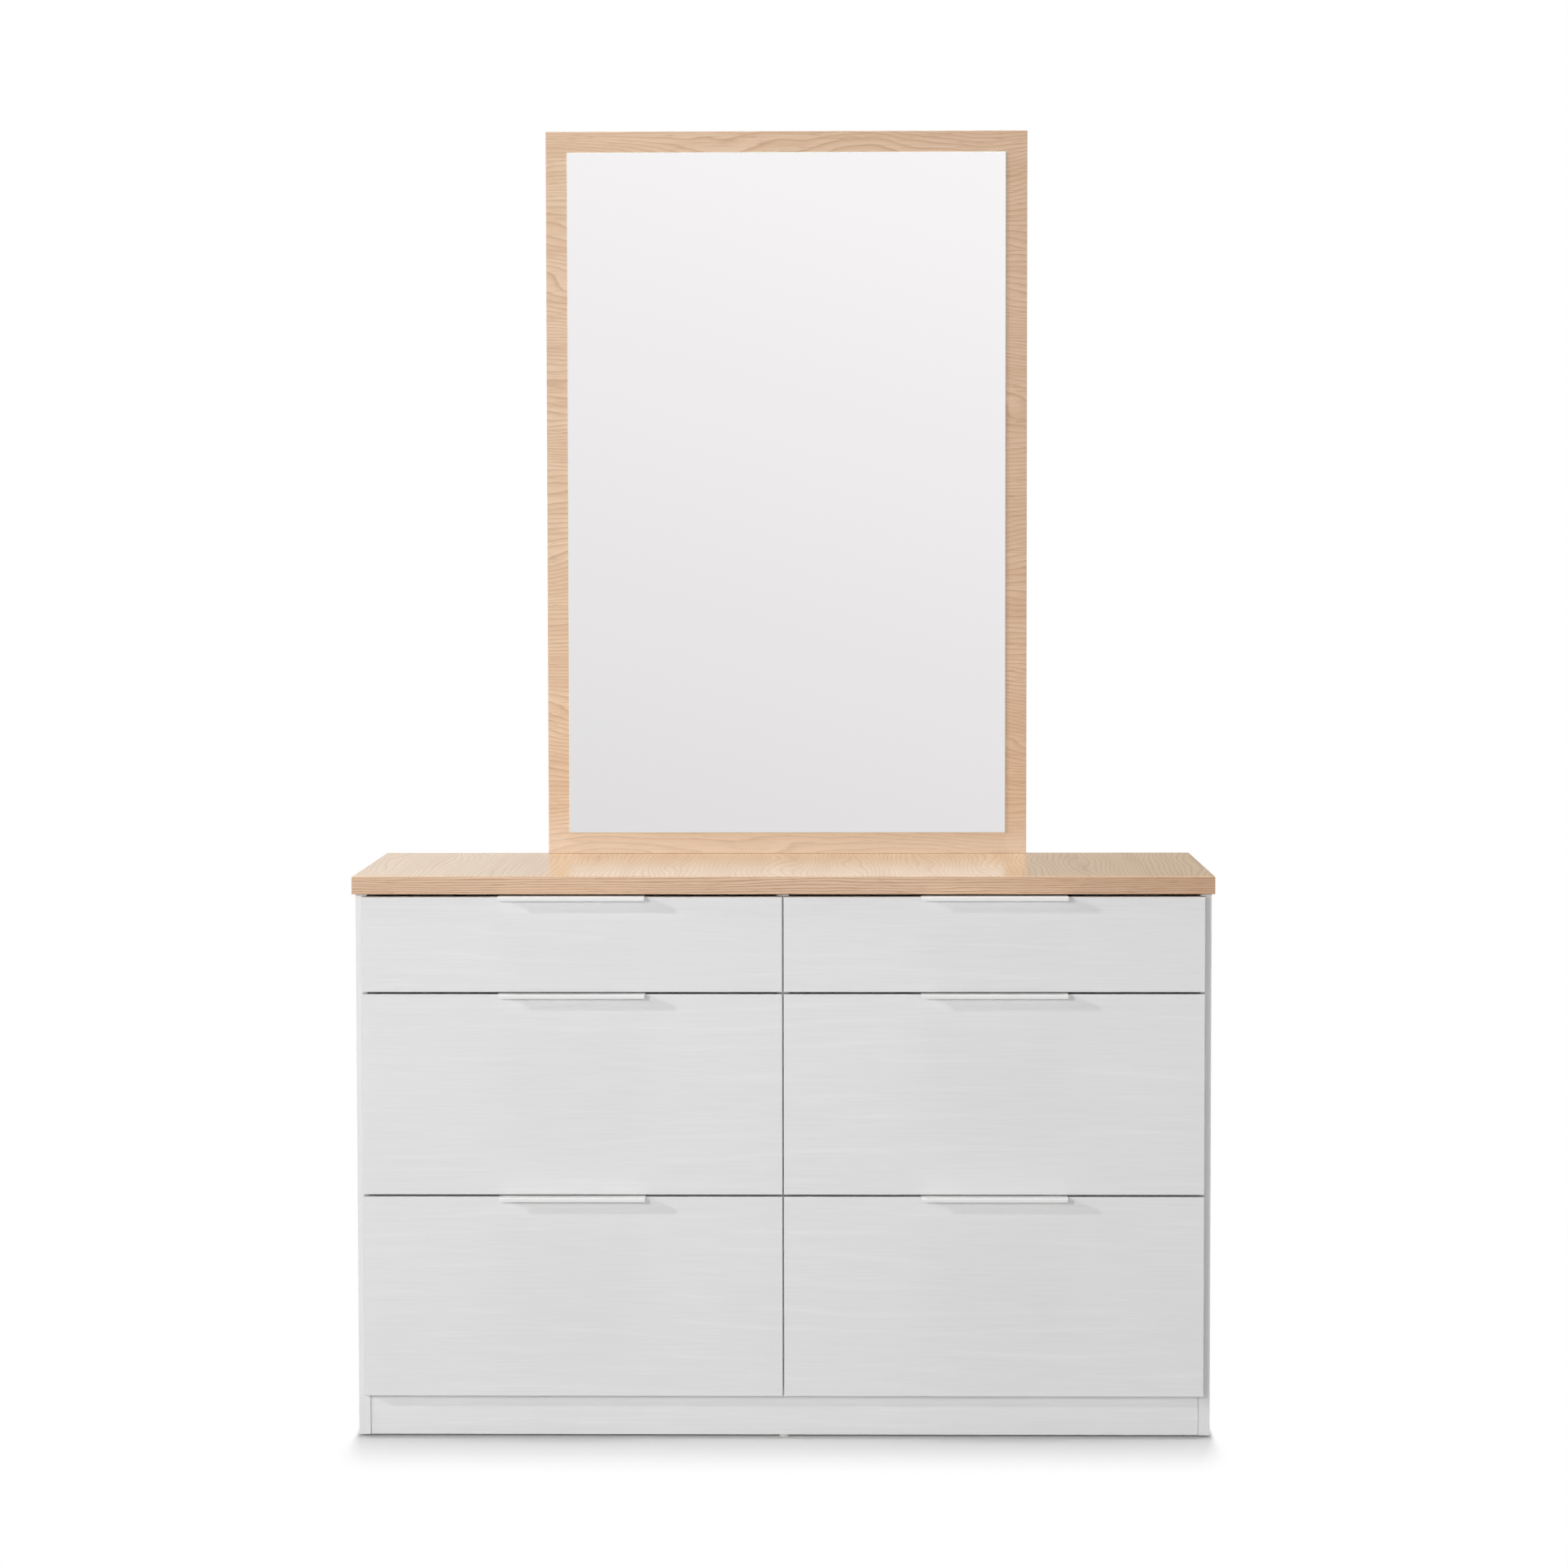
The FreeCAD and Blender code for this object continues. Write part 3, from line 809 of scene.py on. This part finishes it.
def floor_finish():
    finish, recipe, place = new_finish("studio_floor")
    direct = seen_directly(recipe)[1]
    spot = recipe.split(place)
    foot_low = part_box("left_side_panel")[0]
    ahead = spot.output("Y").size() + foot_low.y
    ahead = ahead.maths("MAXIMUM", ahead, 0)
    aside = spot.size() + foot_low.x + ahead * SHADE_TAPER
    aside = aside.maths("MAXIMUM", aside, 0)
    softness = SHADE_ASIDE + ahead * SHADE_FAN
    away = ((aside * softness ** -1) ** 2 + (ahead * (1 / SHADE_AHEAD)) ** 2) ** 0.5
    clear = recipe.step(away, 0, 1)
    beyond = recipe.step(away, 0, FOOT_REACH)
    tone = recipe.mix(beyond, grey(FOOT_GREY), grey(FLOOR_GREY))
    plain = recipe.node("ShaderNodeBsdfDiffuse", {}, {"Color": tone})
    glow = recipe.node("ShaderNodeEmission", {}, {"Color": grey(1), "Strength": FLOOR_GLOW})
    white = recipe.node("ShaderNodeEmission", {}, {"Color": grey(1), "Strength": 1.0})
    dim = recipe.node("ShaderNodeBsdfDiffuse", {}, {"Color": grey(SHADE_GREY)})
    shaded = recipe.node("ShaderNodeAddShader", {}, {0: dim, 1: glow})
    shown = recipe.node("ShaderNodeMixShader", {}, {0: clear, 1: shaded, 2: white})
    surface = recipe.node("ShaderNodeMixShader", {}, {0: direct, 1: plain, 2: shown})
    recipe.node("ShaderNodeOutputMaterial", {}, {"Surface": surface})
    return finish


near_corners = [(-FLOOR_SIDE, FLOOR_NEAR, 0), (FLOOR_SIDE, FLOOR_NEAR, 0)]
far_corners = [(FLOOR_SIDE, FLOOR_FAR, 0), (-FLOOR_SIDE, FLOOR_FAR, 0)]
floor_mesh = bpy.data.meshes.new("studio_floor")
floor_mesh.from_pydata(near_corners + far_corners, [], [(0, 1, 2, 3)])
floor_mesh.materials.append(floor_finish())
floor = bpy.data.objects.new("studio_floor", floor_mesh)
scene.collection.objects.link(floor)
print("floor is", [round(v, 1) for v in floor.dimensions], "metres")

# %% [markdown]
# The background is the world. The camera sees it as white. The mirror sees the pale wall in front
# of it, a little brighter towards the ceiling and to the right, which is the soft change of grey
# down the glass. The satin top sees the wall behind, which is bright on the left, where the lamps
# are, and falls off to the right. All other rays take a weak, even light from the whole room, which
# fills the shadows, and a stronger one from the lit wall behind, which reaches the sides and the
# back.

# %% World
ROOM = 0.14
WALL_BEHIND = 0.68
WALL_EDGE = 0.2
MIRRORED_GREY, MIRRORED_RISE, MIRRORED_RIGHT = 0.9, 1.07, 0.3
SHEEN_GREY, SHEEN_FALL = 0.5, 2.8
WALL_SPAN = 0.1


def studio_world():
    world = bpy.data.worlds.new("studio")
    world.use_nodes = True
    world.node_tree.nodes.clear()
    recipe = Recipe(world.node_tree)
    path, direct = seen_directly(recipe)
    way = recipe.split(recipe.node("ShaderNodeTexCoord", output="Generated"))

    def held(axis):
        """One part of the direction, which changes only near straight ahead."""
        sockets = {"Value": way.output(axis), "Min": -WALL_SPAN, "Max": WALL_SPAN}
        return recipe.node("ShaderNodeClamp", {}, sockets)

    ahead = MIRRORED_GREY + held("Z") * MIRRORED_RISE + held("X") * MIRRORED_RIGHT
    behind = SHEEN_GREY - held("X") * SHEEN_FALL
    backwards = recipe.step(way.output("Y"), 0, WALL_SPAN)
    wall = ahead * (1 - backwards) + behind * backwards
    shown = path + (1 - path) * wall
    ambient = ROOM + recipe.step(way.output("Y"), 0, WALL_EDGE) * WALL_BEHIND
    strength = direct * shown + (1 - direct) * ambient
    sky = recipe.node("ShaderNodeBackground", {}, {"Color": grey(1), "Strength": strength})
    recipe.node("ShaderNodeOutputWorld", {}, {"Surface": sky})
    return world


scene.world = studio_world()
print("world gives", ROOM, "from the room and", WALL_BEHIND, "more from the wall behind")

# %% [markdown]
# Four lamps light the table. One stands beside the camera and lights all that the camera sees, down
# into the gaps between the fronts. One stands nearer, to the left of it and higher: it makes the
# left of everything a little brighter and draws the fine dark line under each pull. A small, weak
# one far off to the left gives the pulls and the lower fronts the faint wide shadows that they have
# in the picture, and a long one overhead lights the top. A lamp's strength on a board falls with
# the square of the distance and with its slant, so the sums below start from the light wanted on a
# board that faces a given way, and work back to watts. Lamps that the mirror or the satin top would
# show are left out of reflections.

# %% Lamps
FRONTS = Vector((0, -0.22, 0.45))
TOP = Vector((0, -0.12, 0.79))
FORWARDS = Vector((0, -1, 0))
UPWARDS = Vector((0, 0, 1))


def lamp(name, target, facing, left, up, distance, width, height, light, reflected=True):
    """A soft lamp so many degrees left of and above a board, by the light it gives that board."""
    left, up = math.radians(left), math.radians(up)
    way = Vector((-math.sin(left) * math.cos(up), -math.cos(left) * math.cos(up), math.sin(up)))
    data = bpy.data.lights.new(name, "AREA")
    data.shape = "RECTANGLE"
    data.size = width
    data.size_y = height
    data.energy = light * math.pi ** 2 * distance ** 2 / way.dot(facing)
    made = bpy.data.objects.new(name, data)
    made.visible_glossy = reflected
    stand = target + way * distance
    aim = way.to_track_quat("Z", "Y").to_matrix().to_4x4()
    made.matrix_world = Matrix.Translation(stand) @ aim
    scene.collection.objects.link(made)
    print(name, "stands", [round(v, 2) for v in stand], "watts", round(data.energy))


beside_camera = {"left": -1, "up": 8, "distance": 6.2, "width": 1, "height": 1}
near_left = {"left": 18, "up": 14, "distance": 4, "width": 0.4, "height": 0.4}
far_left = {"left": 64, "up": 21.7, "distance": 12, "width": 0.35, "height": 0.35}
overhead = {"left": 0, "up": 86, "distance": 6, "width": 3, "height": 1}
lamp("front_lamp", FRONTS, FORWARDS, **beside_camera, light=0.27, reflected=False)
lamp("left_lamp", FRONTS, FORWARDS, **near_left, light=0.255, reflected=False)
lamp("key_lamp", FRONTS, FORWARDS, **far_left, light=0.107)
lamp("top_lamp", TOP, UPWARDS, **overhead, light=0.56, reflected=False)
